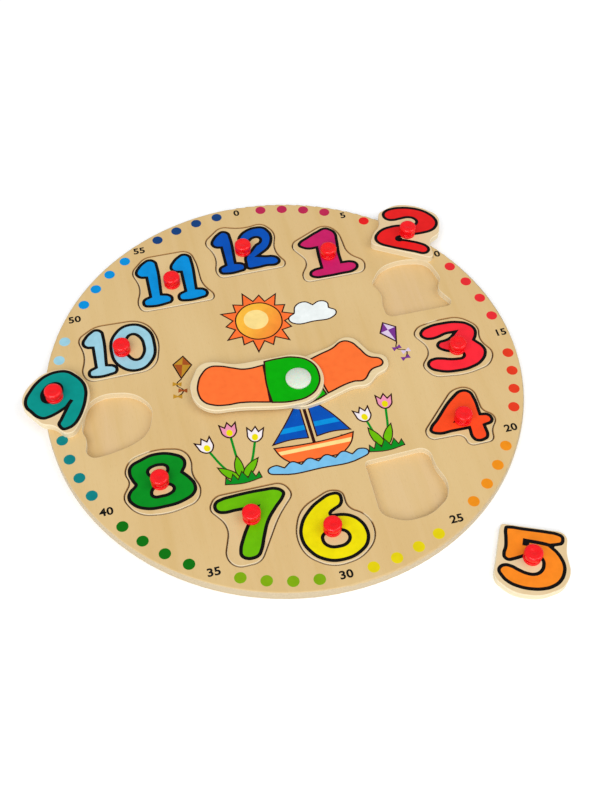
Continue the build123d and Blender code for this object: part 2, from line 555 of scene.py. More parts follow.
def ellipse(middle: Point, across: float, up: float) -> tuple[Knot, ...]:
    """Give the points of an ellipse.

    Args:
        middle: Its middle.
        across: Half its width.
        up: Half its height.

    Returns:
        Eight rounded points, counter-clockwise.
    """
    turns = [math.radians(45 * step) for step in range(8)]
    return tuple((middle[0] + across * math.cos(t), middle[1] + up * math.sin(t)) for t in turns)


def ribbon(path: Sequence[Point], width: float) -> Shape:
    """Give a flat ribbon that follows a path.

    Args:
        path: The points along its middle.
        width: How wide it is.

    Returns:
        The ribbon's shape, square at both ends.
    """
    left: list[Knot] = []
    right: list[Knot] = []
    for index, (x, y) in enumerate(path):
        before = path[max(index - 1, 0)]
        after = path[min(index + 1, len(path) - 1)]
        run = Vector((after[0] - before[0], after[1] - before[1])).normalized() * (width / 2)
        at_end = index in (0, len(path) - 1)
        for side, way in ((left, 1.0), (right, -1.0)):
            spot = (x - way * run.y, y + way * run.x)
            side.append(Corner(*spot) if at_end else spot)
    return Shape(tuple(left + right[::-1]))


def straight_cut(*points: Point) -> Shape:
    """Give a shape whose points are all sharp."""
    return Shape(tuple(Corner(*point) for point in points))


@dataclass
class PrintedPiece:
    """Films of ink on one wooden face, joined into one piece."""

    name: str
    body: str
    face: float
    films: list[bpy.types.Object] = field(default_factory=list)
    # The small numbers are bolder, wider and further apart than plain type by these shares.
    type_swell: float = 0.03
    type_spacing: float = 1.02
    type_width: float = 1.14

    def lay(
        self, shape: Shape, fill: Ink | ScreenInk, at: Point = (0.0, 0.0), turn: float = 0.0,
        stretch: Point = (1.0, 1.0), moved: Point = (0.0, 0.0),
        border: Ink | None = Ink.UMBER, border_width: float = 0.9, coat: int = 1, steps: int = 6,
    ) -> None:
        """Print one shape.

        Args:
            shape: What the stencil lets through.
            fill: The ink inside the border.
            at: Where the shape's own origin comes on the board.
            turn: How far it is turned there, in degrees.
            stretch: How much wider and higher it is drawn.
            moved: How far it is moved before it is turned.
            border: The border's ink, or none.
            border_width: How wide the border is.
            coat: Which coat of ink it is, counted from the wood.
            steps: How many steps each stretch of the outline is drawn in.
        """
        curve = bpy.data.curves.new(self.name, "CURVE")
        curve.dimensions = "2D"
        curve.fill_mode = "BOTH"
        curve.resolution_u = steps
        for knots in (shape.outline, *shape.openings):
            spline = curve.splines.new("BEZIER")
            spline.bezier_points.add(len(knots) - 1)
            spline.use_cyclic_u = True
            for point, knot in zip(spline.bezier_points, knots):
                sharp = isinstance(knot, Corner)
                x, y = (knot.x, knot.y) if sharp else knot
                point.co.x = (moved[0] + stretch[0] * x) * MM
                point.co.y = (moved[1] + stretch[1] * y) * MM
                point.handle_left_type = "VECTOR" if sharp else "AUTO"
                point.handle_right_type = "VECTOR" if sharp else "AUTO"
        film = bpy.data.objects.new(self.name, curve)
        bpy.context.scene.collection.objects.link(film)
        if border:
            film.data.materials.append(ScreenInk(border).material())
        finish = ScreenInk(fill) if isinstance(fill, Ink) else fill
        film.data.materials.append(finish.material())
        self._dry(film, border_width if border else 0.0, coat)
        self._settle(film, at, turn)

    def letter(self, text: str, fill: Ink, at: Point, height: float) -> None:
        """Print a plain number.

        Args:
            text: The number.
            fill: Its ink.
            at: The place of its middle on the board.
            height: The type's size.
        """
        bpy.ops.object.select_all(action="DESELECT")
        bpy.ops.object.text_add()
        film = bpy.context.object
        film.name = self.name
        film.data.body = text
        film.data.size = height * MM
        film.data.align_x = "CENTER"
        film.data.align_y = "CENTER"
        film.data.offset = self.type_swell * height * MM
        film.data.space_character = self.type_spacing
        film.data.resolution_u = 3
        film.data.materials.append(ScreenInk(fill).material())
        film.scale.x = self.type_width
        self._dry(film, 0.0, 1)
        self._settle(film, at, 0.0)

    def _dry(self, film: bpy.types.Object, border_width: float, coat: int) -> None:
        """Turn a flat drawing into a closed film, with its border set in from the edge.

        Args:
            film: The flat curve or text.
            border_width: How wide the border is, or 0 for none.
            coat: Which coat of ink it is.
        """
        pick(film)
        bpy.ops.object.convert(target="MESH")
        bpy.ops.object.mode_set(mode="EDIT")
        bpy.ops.mesh.select_mode(type="FACE")
        bpy.ops.mesh.select_all(action="SELECT")
        bpy.ops.mesh.remove_doubles(threshold=WELD * MM)
        bpy.ops.object.mode_set(mode="OBJECT")
        if border_width:
            self._set_in(film, border_width)
        bpy.ops.object.mode_set(mode="EDIT")
        bpy.ops.mesh.select_all(action="SELECT")
        bpy.ops.mesh.normals_make_consistent(inside=False)
        bpy.ops.object.mode_set(mode="OBJECT")
        if film.data.polygons[0].normal.z < 0:
            bpy.ops.object.mode_set(mode="EDIT")
            bpy.ops.mesh.flip_normals()
            bpy.ops.object.mode_set(mode="OBJECT")
        wall = film.modifiers.new("coat", "SOLIDIFY")
        wall.thickness = FILM * coat * MM
        wall.offset = 1.0
        bpy.ops.object.modifier_apply(modifier=wall.name)

    def _set_in(self, film: bpy.types.Object, border_width: float) -> None:
        """Set the border in from the drawing's edge, and fill what is left with the second ink.

        Args:
            film: The flat mesh.
            border_width: How wide the border is.
        """
        edge = {tuple(vertex.co) for vertex in film.data.vertices}
        bpy.ops.object.mode_set(mode="EDIT")
        bpy.ops.mesh.inset(thickness=border_width * MM, use_even_offset=True)
        bpy.ops.mesh.delete(type="FACE")
        bpy.ops.mesh.select_mode(type="EDGE")
        bpy.ops.object.mode_set(mode="OBJECT")
        inside = {v.index for v in film.data.vertices if tuple(v.co) not in edge}
        for line in film.data.edges:
            line.select = set(line.vertices) <= inside
        bpy.ops.object.mode_set(mode="EDIT")
        bpy.ops.mesh.fill(use_beauty=True)
        film.active_material_index = 1
        bpy.ops.object.material_slot_assign()
        bpy.ops.mesh.select_mode(type="FACE")
        bpy.ops.object.mode_set(mode="OBJECT")

    def _settle(self, film: bpy.types.Object, at: Point, turn: float) -> None:
        """Put a film on the wooden face, with its place in its mesh.

        Args:
            film: The closed film.
            at: Its place on the board.
            turn: How far it is turned, in degrees.
        """
        pick(film)
        film.location = (at[0] * MM, at[1] * MM, self.face)
        film.rotation_euler = (0.0, 0.0, math.radians(turn))
        bpy.ops.object.transform_apply(location=True, rotation=True, scale=True)
        self.films.append(film)

    def join(self) -> bpy.types.Object:
        """Join the films and let the piece ride on its body.

        Returns:
            The finished piece.
        """
        piece = self.films[0]
        if len(self.films) > 1:
            pick(piece)
            for film in self.films[1:]:
                film.select_set(True)
            bpy.ops.object.join()
        piece.name = self.name
        piece.data.name = self.name
        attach(piece, self.body)
        log.info("%s: %d films on %s", self.name, len(self.films), self.body)
        return piece


def plane_middle(node: str) -> Point:
    """Give the middle of a solid as seen from above, in millimetres."""
    low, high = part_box(node)
    return ((low.x + high.x) / 2 / MM, (low.y + high.y) / 2 / MM)


def top_of(node: str) -> float:
    """Give the height of a solid's top, in metres."""
    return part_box(node)[1].z


def bottom_of(node: str) -> float:
    """Give the height of a solid's underside, in millimetres."""
    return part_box(node)[0].z / MM


# Figures as they lie round the knob of an upright tile.
SLIM_ONE = Shape((
    (0.2, 41.7), (4.7, 38.8), (5.4, 34.5), Corner(4.1, 9.9), (8.0, 8.5), (10.4, 5.2), (9.0, 0.9),
    (6.0, -0.1), (-7.0, -0.1), (-9.6, 1.2), (-10.6, 4.4), (-9.3, 7.5), Corner(-5.2, 9.4),
    Corner(-4.9, 25.0), (-8.0, 25.8), (-10.5, 28.3), (-11.0, 31.6), (-8.6, 35.9), (-4.5, 39.8),
))
SLIM_TWO = Shape((
    (6.0, 18.9), (13.3, 20.3), (19.0, 18.6), (21.7, 14.4), (22.7, 10.2), (21.4, 3.8),
    (18.0, -1.7), Corner(11.3, -6.3), (14.5, -7.2), (19.3, -8.2), (22.6, -11.2), (22.8, -15.2),
    (19.4, -17.7), (12.8, -17.2), (6.0, -17.7), (-0.6, -16.6), (-1.2, -11.2), (0.0, -4.9),
    (4.4, -1.0), (9.2, 4.1), (12.6, 6.3), (13.0, 8.4), (11.2, 9.6), (8.6, 9.0), (6.4, 7.2),
    (3.0, 5.6), (-1.5, 6.8), (-1.6, 10.8), (0.2, 14.6),
))
SLIM_ZERO = Shape(
    (
        (21.9, 1.0), (18.9, 14.6), (8.0, 20.7), (-3.3, 14.9), (-7.9, 1.0), (-4.0, -12.8),
        (7.5, -18.6), (18.2, -12.3),
    ),
    (ellipse((8.2, 1.2), 4.9, 9.5),),
)
ONE = Shape((
    (4.0, 25.1), (7.9, 22.9), (10.5, 18.8), (10.1, 11.5), (8.3, -1.0), Corner(8.1, -7.7),
    (13.6, -8.3), (17.2, -11.0), (17.4, -15.0), (14.2, -18.1), (4.0, -19.1), (-6.8, -19.2),
    (-13.2, -18.6), (-16.7, -15.8), (-16.3, -12.5), (-13.2, -10.2), Corner(-8.1, -9.4),
    (-7.6, 0.0), Corner(-6.9, 7.3), (-11.2, 7.4), (-15.4, 9.3), (-18.1, 12.8), (-16.9, 15.6),
    (-10.9, 19.1), (-2.6, 23.1),
))
TWO = Shape((
    (-20.6, 11.0), (-21.1, 13.6), (-19.9, 16.8), (-16.3, 20.2), (-10.6, 23.1), (-3.8, 24.9),
    (4.0, 25.2), (10.6, 23.4), (15.2, 20.5), (18.0, 16.3), (17.9, 11.0), (15.6, 7.0), (10.6, 3.1),
    (5.6, 0.3), (1.0, -1.6), (-3.2, -4.8), (-4.7, -6.3), (-4.4, -6.8), (-1.8, -5.9), (4.0, -5.3),
    (10.6, -5.2), (15.4, -6.2), (18.2, -8.7), (18.5, -11.8), (15.9, -14.9), (8.8, -15.5),
    (0.2, -16.0), (-8.5, -16.2), (-14.6, -15.8), (-18.4, -14.0), (-20.4, -10.8), (-20.1, -6.0),
    (-17.6, -0.9), (-13.3, 3.0), (-9.2, 5.6), (-3.0, 7.6), (1.6, 9.6), (2.9, 12.0), (1.4, 13.9),
    (-2.6, 14.1), (-7.5, 11.2), (-11.5, 8.6), (-15.8, 7.6), (-19.0, 8.9),
))
THREE = Shape((
    (-3.8, 23.1), (8.0, 21.7), (14.5, 18.1), (17.4, 12.7), (16.3, 7.6), Corner(14.2, 4.4),
    (18.0, -2.0), (18.0, -7.0), (13.0, -13.6), (5.0, -17.0), (-3.4, -17.8), (-16.6, -15.2),
    (-22.4, -10.2), (-21.4, -5.5), (-16.6, -3.5), (-11.7, -4.2), (-6.5, -6.0), (-1.8, -6.8),
    (1.4, -6.6), (2.2, -4.8), (-0.5, -3.2), (-8.6, -0.1), (-12.2, 4.5), (-9.9, 8.4), (-5.1, 9.2),
    (-1.6, 10.4), Corner(1.0, 12.6), (-3.0, 12.6), (-8.4, 11.1), (-13.3, 10.6), (-18.0, 12.2),
    (-20.0, 16.0), (-18.2, 19.7), (-12.3, 22.3),
))
FOUR = Shape(
    (
        (6.3, 21.7), (11.5, 19.4), (13.0, 14.0), Corner(12.8, 2.0), (16.6, 0.9), (18.8, -2.9),
        (17.4, -6.4), Corner(12.7, -7.8), (11.9, -15.6), (9.4, -17.6), (3.2, -17.4), (1.0, -14.2),
        Corner(1.1, -7.7), (-8.0, -7.6), (-18.5, -7.2), (-22.4, -4.0), (-21.4, -0.9),
        (-16.4, 3.8), (-1.5, 17.8),
    ),
    ((Corner(-1.6, 0.9), Corner(1.6, 4.1), Corner(1.6, 0.9)),),
)
FIVE = Shape((
    (-17.5, 15.4), (-16.9, 17.6), (-14.4, 18.4), (-7.4, 18.7), (0.2, 19.1), (7.6, 19.4),
    (13.4, 19.2), (16.7, 17.8), (17.6, 15.0), (16.8, 12.1), (14.4, 10.7), Corner(11.2, 9.6),
    (14.4, 7.2), (17.1, 4.0), (19.4, -0.4), (19.9, -5.6), (17.9, -12.0), (13.8, -16.4),
    (8.6, -19.1), (1.6, -20.6), (-6.2, -20.4), (-12.5, -18.5), (-16.9, -14.9), (-18.8, -11.6),
    (-17.8, -8.4), (-14.9, -6.5), (-10.8, -6.6), (-6.6, -8.1), (-1.5, -9.4), (2.5, -9.0),
    (5.0, -7.0), (6.0, -3.6), (5.2, -0.4), (2.0, 1.2), (-2.0, 0.6), (-5.7, -1.3), (-9.6, -3.5),
    (-13.2, -4.7), (-16.2, -3.2), (-17.0, -0.4), (-16.4, 4.5), (-16.9, 10.3),
))
SIX = Shape(
    (
        (5.7, 24.0), (10.4, 22.6), (11.4, 18.8), (9.6, 14.2), (4.9, 11.7), (2.7, 10.5),
        (2.4, 10.0), (2.8, 9.8), (4.9, 9.6), (10.0, 8.6), (14.2, 6.4), (17.9, 2.4), (20.2, -4.0),
        (19.2, -11.7), (14.2, -17.4), (1.0, -21.2), (-10.5, -17.8), (-17.3, -10.0), (-19.5, -2.3),
        (-17.5, 7.1), (-10.7, 15.8), (-2.9, 21.1),
    ),
    (((-6.0, -5.0), (-5.0, -2.9), (4.2, -2.3), (7.5, -5.3), (6.4, -8.9), (0.4, -10.5),
      (-4.6, -8.7)),),
)
SEVEN = Shape((
    (-14.6, 16.8), (-9.0, 17.4), (11.0, 17.5), (18.4, 16.6), (22.0, 14.0), (22.9, 11.6),
    (21.6, 8.7), (16.0, 2.8), (9.9, -4.5), (5.5, -13.5), (1.6, -22.6), (-0.8, -25.6),
    (-4.8, -26.8), (-9.4, -25.8), (-11.8, -23.0), (-11.7, -19.4), (-8.6, -12.0), (-3.4, -3.3),
    Corner(3.0, 5.4), (-8.0, 5.9), (-15.0, 5.9), (-18.8, 7.6), (-20.3, 11.0), (-18.8, 15.0),
))
EIGHT = Shape(
    (
        (0.3, 21.2), (11.8, 18.4), (17.2, 13.6), (17.4, 8.7), Corner(15.0, 4.4), (18.4, -0.3),
        (20.6, -6.1), (19.2, -11.6), (11.8, -15.9), (0.3, -17.5), (-12.0, -16.1), (-18.8, -11.1),
        (-20.6, -6.1), (-18.7, -1.5), (-15.5, 1.3), (-15.1, 1.9), (-15.4, 2.5), (-16.3, 4.6),
        (-17.5, 9.9), (-16.0, 15.3), (-8.7, 19.1),
    ),
    (
        ((-4.9, 8.2), (-4.5, 9.8), (-1.4, 11.3), (1.7, 11.4), (4.3, 10.5), (5.1, 8.8), (3.6, 6.4),
         (-3.4, 6.3)),
        ((-5.2, -6.5), (-4.6, -7.7), (-1.0, -8.2), (4.0, -7.6), (6.3, -5.7), (5.6, -3.8),
         (3.0, -2.9), (-3.0, -3.2)),
    ),
)
NINE = Shape((
    (18.6, 8.4), (20.9, 3.4), (20.7, -1.9), (18.1, -10.0), (13.9, -14.9), (7.0, -18.8),
    (-0.8, -21.4), (-6.9, -22.5), (-12.5, -22.3), (-16.8, -20.2), (-18.9, -17.4), (-18.2, -14.3),
    (-16.6, -12.2), (-12.4, -11.4), Corner(-5.8, -10.4), (-10.1, -8.5), (-14.8, -5.5),
    (-17.2, -3.0), (-18.0, 1.6), (-16.4, 7.4), (-14.8, 11.8), (-10.1, 15.6), (-2.6, 16.8),
    (4.8, 16.5), (12.5, 13.9),
))
# Places where the black line runs together and leaves no wood between.
TWO_CROTCH = Shape((
    (-6.2, -7.8), (-5.2, -8.4), (-3.4, -7.6), (-1.8, -6.4), (-2.6, -5.0), (-4.3, -5.5),
    (-6.0, -6.7),
))
FIVE_STROKE = ribbon(((12.2, 9.7), (6.0, 10.4), (-5.6, 10.4)), width=2.3)
FIVE_END = ribbon(((-4.2, 11.6), (-4.2, 7.0)), width=3.8)
NINE_COUNTER = Shape(ellipse((2.0, 3.2), 8.6, 6.5))
NINE_CROTCH = ribbon(((-5.4, -10.4), (2.8, -10.6)), width=2.4)


@dataclass
class WoodenFrame:
    """The board, the tiles and the hands, dressed as cut plywood."""

    tiles_lying: dict[int, float] = field(default_factory=lambda: {2: -31.0, 5: -25.4, 9: 51.0})
    # Where on their sheets the tiles are cut, each lying one a step further along.
    home_shift: Point = (130.0, 210.0)
    lying_shift: Point = (130.0, 90.0)
    lying_step: float = 20.0
    board_knots: tuple[Point, ...] = ((22.8, -51.5), (93.5, -41.0))
    empty_pockets: tuple[Point, ...] = ((99.0, 52.0), (51.0, -95.0), (-109.5, -8.0))

    def dress(self) -> None:
        """Give every wooden solid its sheet of plywood."""
        dress("backing_board", Plywood(
            "birch_plywood_back_sheet", Stock.THREE, bottom_of("backing_board"),
            face="#DCBB8A", edge="#C8B594", core="#C3AF8B", shift=(41.0, 17.0),
        ).material())
        dress("dial_board", Plywood(
            "birch_plywood_dial_sheet", Stock.FIVE, bottom_of("dial_board"),
            pin_knots=self.board_knots, empty_pockets=self.empty_pockets,
        ).material())
        home = Plywood(
            "birch_plywood_tile_sheet", Stock.FIVE, bottom_of("numeral_1"), shift=self.home_shift,
            face="#DDBE8A",
        ).material()
        for number in NUMBERS:
            node = f"numeral_{number}"
            sheet = home
            if number in self.tiles_lying:
                x, y = self.lying_shift
                sheet = Plywood(
                    f"birch_plywood_tile_{number}", Stock.FIVE, bottom_of(node),
                    turn=self.tiles_lying[number], shift=(x + self.lying_step * number, y),
                    face="#E5CA9E", figure="#DCBE8C", cloud="#E9D1A6",
                ).material()
            dress(node, sheet)
        for node, shift in (("hour_hand", (310.0, 40.0)), ("minute_hand", (370.0, 80.0))):
            dress(node, Plywood(
                f"birch_plywood_{node}", Stock.THREE, bottom_of(node), turn=90.0, shift=shift,
                face="#E8D2A6", figure="#DCC08C",
            ).material())
        log.info("wood: backing, dial, 12 tiles and 2 hands")


@dataclass
class PlasticParts:
    """The finger knobs and the rivet."""

    def dress(self) -> None:
        """Give the knobs red plastic, and the rivet and its cap a milky white one."""
        red = MouldedPlastic(
            "moulded_polystyrene_red", "#F50A14", "#FA2A28", translucency=0.3, roughness=0.16
        ).material()
        for number in NUMBERS:
            dress(f"knob_{number}", red)
        milky = MouldedPlastic(
            "moulded_polystyrene_milky", "#D6DFCD", "#E6EBDF", translucency=0.35, roughness=0.3
        ).material()
        for node in ("pivot_post", "pivot_cap"):
            dress(node, milky)
        log.info("plastic: 12 knobs, rivet and cap")


@dataclass
class NumberPrints:
    """The big numbers on the tiles, each a coloured figure with a thick black line round it."""

    line_width: float = 2.1
    faces: dict[int, tuple[Glyph, ...]] = field(default_factory=lambda: {
        1: (Glyph(ONE),),
        2: (Glyph(TWO),),
        3: (Glyph(THREE),),
        4: (Glyph(FOUR),),
        5: (Glyph(FIVE),),
        6: (Glyph(SIX),),
        7: (Glyph(SEVEN),),
        8: (Glyph(EIGHT),),
        9: (Glyph(NINE),),
        10: (Glyph(SLIM_ONE, (-14.2, -17.5), (0.93, 0.933)), Glyph(SLIM_ZERO)),
        11: (Glyph(SLIM_ONE, (-11.7, -16.7)), Glyph(SLIM_ONE, (11.8, -17.0))),
        12: (Glyph(SLIM_ONE, (-10.0, -17.9), (0.92, 0.947)), Glyph(SLIM_TWO)),
    })
    blots: dict[int, tuple[Shape, ...]] = field(default_factory=lambda: {
        2: (TWO_CROTCH,),
        5: (FIVE_STROKE, FIVE_END),
        9: (NINE_COUNTER, NINE_CROTCH),
    })

    def build(self, colours: Sequence[Ink], turns: dict[int, float]) -> None:
        """Print every tile.

        Args:
            colours: The inks of the numbers, from 1 to 12.
            turns: How far a tile that lies loose is turned.
        """
        for number, glyphs in self.faces.items():
            tile = PrintedPiece(f"number_print_{number}", f"number_{number}",
                                top_of(f"numeral_{number}"))
            middle = plane_middle(f"knob_{number}")
            turn = turns.get(number, 0.0)
            for coat, glyph in enumerate(glyphs, start=1):
                tile.lay(
                    glyph.shape, colours[number - 1], at=middle, turn=turn,
                    stretch=glyph.stretch, moved=glyph.at, border=Ink.BLACK,
                    border_width=self.line_width, coat=coat,
                )
            for coat, blot in enumerate(self.blots.get(number, ()), start=2):
                tile.lay(blot, Ink.BLACK, at=middle, turn=turn, border=None, coat=coat)
            tile.join()


@dataclass
class MinuteTrack:
    """The ring of minute dots and the small numbers between them."""

    middle: Point = (0.5, 0.9)
    radius: float = 143.6
    hour_step: int = 30  # degrees
    minutes_each: int = 5
    dots_each: int = 4
    dot_diameter: float = 7.0
    type_size: float = 7.1
    # Degrees past the hour of the first and last dot of each four: the print isn't quite even.
    runs: tuple[Point, ...] = (
        (6.8, 24.7), (6.1, 24.3), (4.5, 24.1), (6.7, 23.6), (5.5, 23.6), (5.9, 23.5),
        (6.1, 23.9), (6.0, 24.5), (5.8, 23.4), (5.9, 24.0), (6.8, 24.8), (6.2, 24.3),
    )
    # The numbers that sit off their hour, in degrees.
    strays: dict[int, float] = field(default_factory=lambda: {10: -1.3, 50: 1.4})

    def place(self, degrees: float) -> Point:
        """Give a place on the ring.

        Args:
            degrees: How far round it is, clockwise from the top.

        Returns:
            The place on the board.
        """
        turn = math.radians(90 - degrees)
        return (
            self.middle[0] + self.radius * math.cos(turn),
            self.middle[1] + self.radius * math.sin(turn),
        )

    def build(self, colours: Sequence[Ink]) -> None:
        """Print the dots, four to a colour, and the numbers.

        Args:
            colours: The inks of the hours, from 1 to 12.
        """
        dot = Shape(ellipse((0.0, 0.0), self.dot_diameter / 2, self.dot_diameter / 2))
        for hour, (colour, (first, last)) in enumerate(zip(colours, self.runs)):
            start = self.minutes_each * hour
            dots = PrintedPiece(f"minute_dots_{start}_to_{start + self.minutes_each}", "board",
                                top_of("dial_board"))
            for step in range(self.dots_each):
                along = step * (last - first) / (self.dots_each - 1)
                spot = self.place(self.hour_step * hour + first + along)
                dots.lay(dot, colour, at=spot, border=None, steps=5)
            dots.join()
            figures = PrintedPiece(f"minute_number_{start}", "board", top_of("dial_board"))
            spot = self.place(self.hour_step * hour + self.strays.get(start, 0.0))
            figures.letter(str(start), Ink.BLACK, spot, self.type_size)
            figures.join()


@dataclass
class DialPicture:
    """A plain seaside picture in the middle of the dial: sun, cloud, boat, tulips and kites."""

    sun_middle: Point = (-6.0, 47.0)
    sun_radius: float = 15.5
    ray_tips: tuple[float, float] = (26.5, 22.5)
    ray_foot: float = 17.5
    ray_count: int = 14
    # A stem bows out by this share of its slant and sags by this much.
    stem_bow: float = 0.06
    stem_sag: float = 2.0
    # How much of a stem's lean its leaf and its blossom follow.
    leaf_lean: float = 1.5
    blossom_lean: float = 0.5

    def build(self) -> None:
        """Print each motif as a piece of its own."""
        self._sun()
        self._cloud()
        self._boat()
        self._tulips("left", ((-57.5, -45.0), (-43.0, -37.5), (-29.5, -44.0)), (-42.0, -68.5),
                     (Ink.BLOSSOM, Ink.PINK, Ink.BLOSSOM))
        self._tulips("right", ((40.5, -45.5), (54.5, -39.0)), (47.0, -66.5),
                     (Ink.BLOSSOM, Ink.PINK))
        self._kite("left", (-61.5, 22.0), -14.0, Ink.OCHRE, Ink.RUST)
        self._kite("right", (74.0, 18.5), 14.0, Ink.PLUM, Ink.LILAC)

    def _piece(self, name: str) -> PrintedPiece:
        """Start a motif on the dial's face."""
        return PrintedPiece(f"picture_{name}", "board", top_of("dial_board"))

    def _sun(self) -> None:
        """Print the sun: pointed rays, a glowing disc and a pale middle."""
        knots: list[Knot] = []
        for step in range(2 * self.ray_count):
            turn = math.pi * step / self.ray_count
            reach = self.ray_foot if step % 2 else self.ray_tips[step // 2 % 2]
            knots.append(Corner(reach * math.cos(turn), reach * math.sin(turn)))
        x, y = self.sun_middle
        sun = self._piece("sun")
        sun.lay(Shape(tuple(knots)), Ink.ORANGE, at=self.sun_middle, steps=1)
        disc = Shape(ellipse((0.0, 0.0), self.sun_radius, self.sun_radius))
        glow = ScreenInk(Ink.AMBER, Ink.APRICOT, (x - 8.0, y + 8.0), (x + 14.0, y - 10.0))
        sun.lay(disc, glow, at=self.sun_middle, coat=2, steps=8)
        heart = Shape(ellipse((-1.5, 1.5), 8.0, 8.0))
        sun.lay(heart, Ink.STRAW, at=self.sun_middle, border=None, coat=3, steps=8)
        sun.join()

    def _cloud(self) -> None:
        """Print the cloud that drifts before the sun's rays."""
        cloud = self._piece("cloud")
        cloud.lay(Shape((
            (15.0, 39.5), (13.0, 44.5), Corner(17.5, 48.0), (20.0, 54.0), (27.0, 56.0),
            Corner(31.5, 52.5), (36.5, 54.5), (41.5, 52.0), Corner(41.5, 47.5), (45.5, 43.5),
            (42.5, 39.0), (29.0, 38.0),
        )), Ink.CLOUD_WHITE, coat=3)
        cloud.join()

    def _boat(self) -> None:
        """Print the boat: hull, mast, two sails and the waves that it sits in."""
        boat = self._piece("boat")
        boat.lay(ribbon(((5.3, -53.0), (5.3, -17.0)), width=2.0), Ink.UMBER, border=None)
        boat.lay(Shape((
            Corner(3.2, -19.0), (-8.5, -35.0), Corner(-20.5, -49.5), (-8.0, -48.2),
            Corner(3.2, -49.2),
        )), Ink.ROYAL_BLUE, coat=2)
        boat.lay(Shape((
            Corner(7.6, -17.0), (20.5, -33.0), Corner(30.0, -49.2), (18.0, -48.0),
            Corner(7.6, -49.2),
        )), Ink.ROYAL_BLUE, coat=2)
        for stripe in (
            straight_cut((-10.6, -39.0), (2.3, -39.0), (2.3, -42.6), (-13.6, -42.6)),
            straight_cut((8.5, -38.0), (22.2, -38.0), (24.4, -41.6), (8.5, -41.6)),
        ):
            boat.lay(stripe, Ink.SKY_BLUE, border=None, coat=3)
        boat.lay(Shape((
            Corner(-20.0, -51.0), (-2.0, -52.2), (14.0, -52.2), Corner(31.0, -50.4),
            (27.5, -58.0), Corner(20.0, -65.0), Corner(-11.0, -65.0), (-17.0, -58.5),
        )), Ink.ORANGE)
        plank = straight_cut((-17.6, -54.6), (28.2, -54.4), (26.9, -57.2), (-16.4, -57.2))
        boat.lay(plank, Ink.STRAW, border=None, coat=2)
        boat.lay(Shape((
            (-27.0, -66.5), (-21.8, -63.0), Corner(-16.5, -65.6), (-11.3, -62.6),
            Corner(-6.0, -65.6), (-0.8, -62.6), Corner(4.5, -65.6), (9.8, -62.6),
            Corner(15.0, -65.6), (20.3, -62.6), Corner(25.5, -65.6), (30.8, -63.0), (36.0, -66.5),
            (30.0, -70.5), (5.0, -71.8), (-20.0, -70.5),
        )), Ink.SEA, coat=3)
        boat.join()

    def _tulips(
        self, side: str, blossoms: Sequence[Point], root: Point, colours: Sequence[Ink]
    ) -> None:
        """Print a clump of tulips.

        Args:
            side: Which side of the boat it stands on.
            blossoms: The foot of each blossom.
            root: Where the stems meet the grass.
            colours: The blossoms' inks.
        """
        clump = self._piece(f"tulips_{side}")
        leaf = Shape((Corner(0.0, 0.0), (-2.9, 5.0), (-2.6, 12.0), Corner(0.6, 18.5), (2.6, 11.0),
                      (2.2, 4.5)))
        blossom = Shape((
            (0.0, -0.4), (-4.4, 2.6), (-5.2, 7.0), Corner(-5.6, 11.2), Corner(-2.2, 8.2),
            Corner(0.0, 12.0), Corner(2.2, 8.2), Corner(5.6, 11.2), (5.2, 7.0), (4.4, 2.6),
        ))
        heart = Shape(ellipse((0.0, 3.4), 1.9, 2.4))
        for coat, (foot, colour) in enumerate(zip(blossoms, colours), start=1):
            lean = math.degrees(math.atan2(root[0] - foot[0], foot[1] - root[1]))
            nod = self.blossom_lean * lean
            bend = (
                (foot[0] + root[0]) / 2 + self.stem_bow * (foot[0] - root[0]),
                (foot[1] + root[1]) / 2 - self.stem_sag,
            )
            clump.lay(ribbon((root, bend, foot), width=1.5), Ink.LEAF, border=None, coat=coat)
            clump.lay(leaf, Ink.LIME, at=root, turn=self.leaf_lean * lean, border_width=0.7,
                      coat=coat + 3)
            clump.lay(blossom, colour, at=foot, turn=nod, coat=4)
            clump.lay(heart, Ink.LEMON, at=foot, turn=nod, border=None, coat=5)
        clump.lay(Shape((
            Corner(-11.5, -1.0), Corner(-10.0, 4.4), Corner(-7.6, 1.2), Corner(-5.4, 6.0),
            Corner(-3.0, 1.4), Corner(0.2, 6.6), Corner(3.0, 1.4), Corner(6.0, 5.8),
            Corner(7.8, 1.2), Corner(10.4, 4.2), Corner(11.5, -1.0), (0.0, -2.6),
        )), Ink.LEAF, at=root, border_width=0.6, coat=7, steps=4)
        clump.join()

    def _kite(self, side: str, at: Point, turn: float, warm: Ink, pale: Ink) -> None:
        """Print a kite with its tail.

        Args:
            side: Which side of the hands it flies on.
            at: The place of its cross.
            turn: How far it leans.
            warm: The ink of the whole kite.
            pale: The ink of two of its quarters.
        """
        kite = self._piece(f"kite_{side}")
        tail = ribbon(((0.0, -9.5), (-2.6, -14.0), (1.8, -18.5), (-1.6, -23.5)), width=0.9)
        kite.lay(tail, Ink.UMBER, at=at, turn=turn, border=None)
        sail = straight_cut((0.0, 9.0), (6.4, 1.6), (0.0, -10.0), (-6.4, 1.6))
        kite.lay(sail, warm, at=at, turn=turn, coat=2, steps=1)
        for quarter in (
            straight_cut((0.0, 7.5), (5.1, 1.6), (0.0, 1.6)),
            straight_cut((0.0, 1.6), (0.0, -8.0), (-5.1, 1.6)),
        ):
            kite.lay(quarter, pale, at=at, turn=turn, border=None, coat=3, steps=1)
        bow = straight_cut(
            (-2.8, 1.7), (0.0, 0.4), (2.8, 1.7), (2.8, -1.7), (0.0, -0.4), (-2.8, -1.7)
        )
        for knot, ink in (((-2.4, -13.6), warm), ((1.5, -18.4), pale), ((-1.4, -23.0), warm)):
            kite.lay(bow, ink, at=at, turn=turn, moved=knot, border=None, coat=2, steps=1)
        kite.join()


